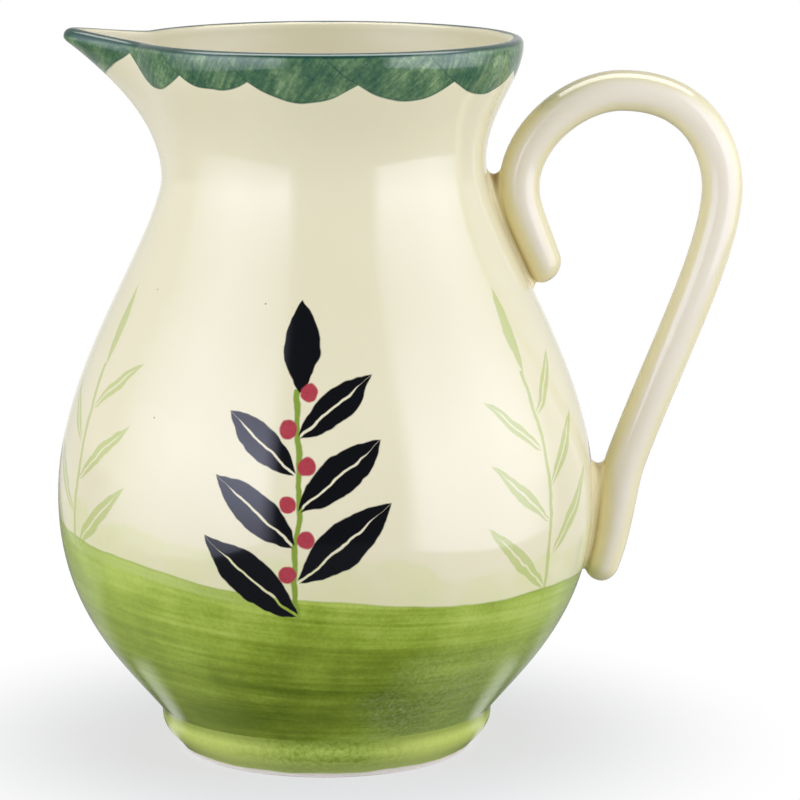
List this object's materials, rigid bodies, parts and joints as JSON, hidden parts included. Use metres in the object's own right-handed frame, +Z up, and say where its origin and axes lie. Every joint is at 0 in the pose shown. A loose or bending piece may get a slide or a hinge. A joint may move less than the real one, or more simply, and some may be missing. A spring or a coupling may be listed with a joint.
{
  "type": "jug",
  "caption": "Round-bellied glazed ceramic jug with a V-shaped pouring beak, a turned foot ring and a curled rod handle luted to its shoulder and belly.",
  "frame": {"origin": "centre of the face that the foot ring rests on", "axes": "+Z up along the axis of the pot, +X from the axis towards the handle, so that the beak points along -X"},
  "size_m": [0.1916, 0.1506, 0.2026],
  "materials": {
    "body_glaze": "glossy cream glaze with brushed green bands at rim and base",
    "foot_glaze": "glossy green glaze, wiped bare on the resting edge",
    "handle_glaze": "glossy cream glaze",
    "slip_glaze": "glossy cream glaze, pooled and a little yellower"
  },
  "bodies": {
    "root": {"body": "body_glaze", "foot_ring": "foot_glaze", "spout": "body_glaze", "handle": "handle_glaze", "upper_handle_slip": "slip_glaze", "lower_handle_slip": "slip_glaze"}
  },
  "joints": []
}
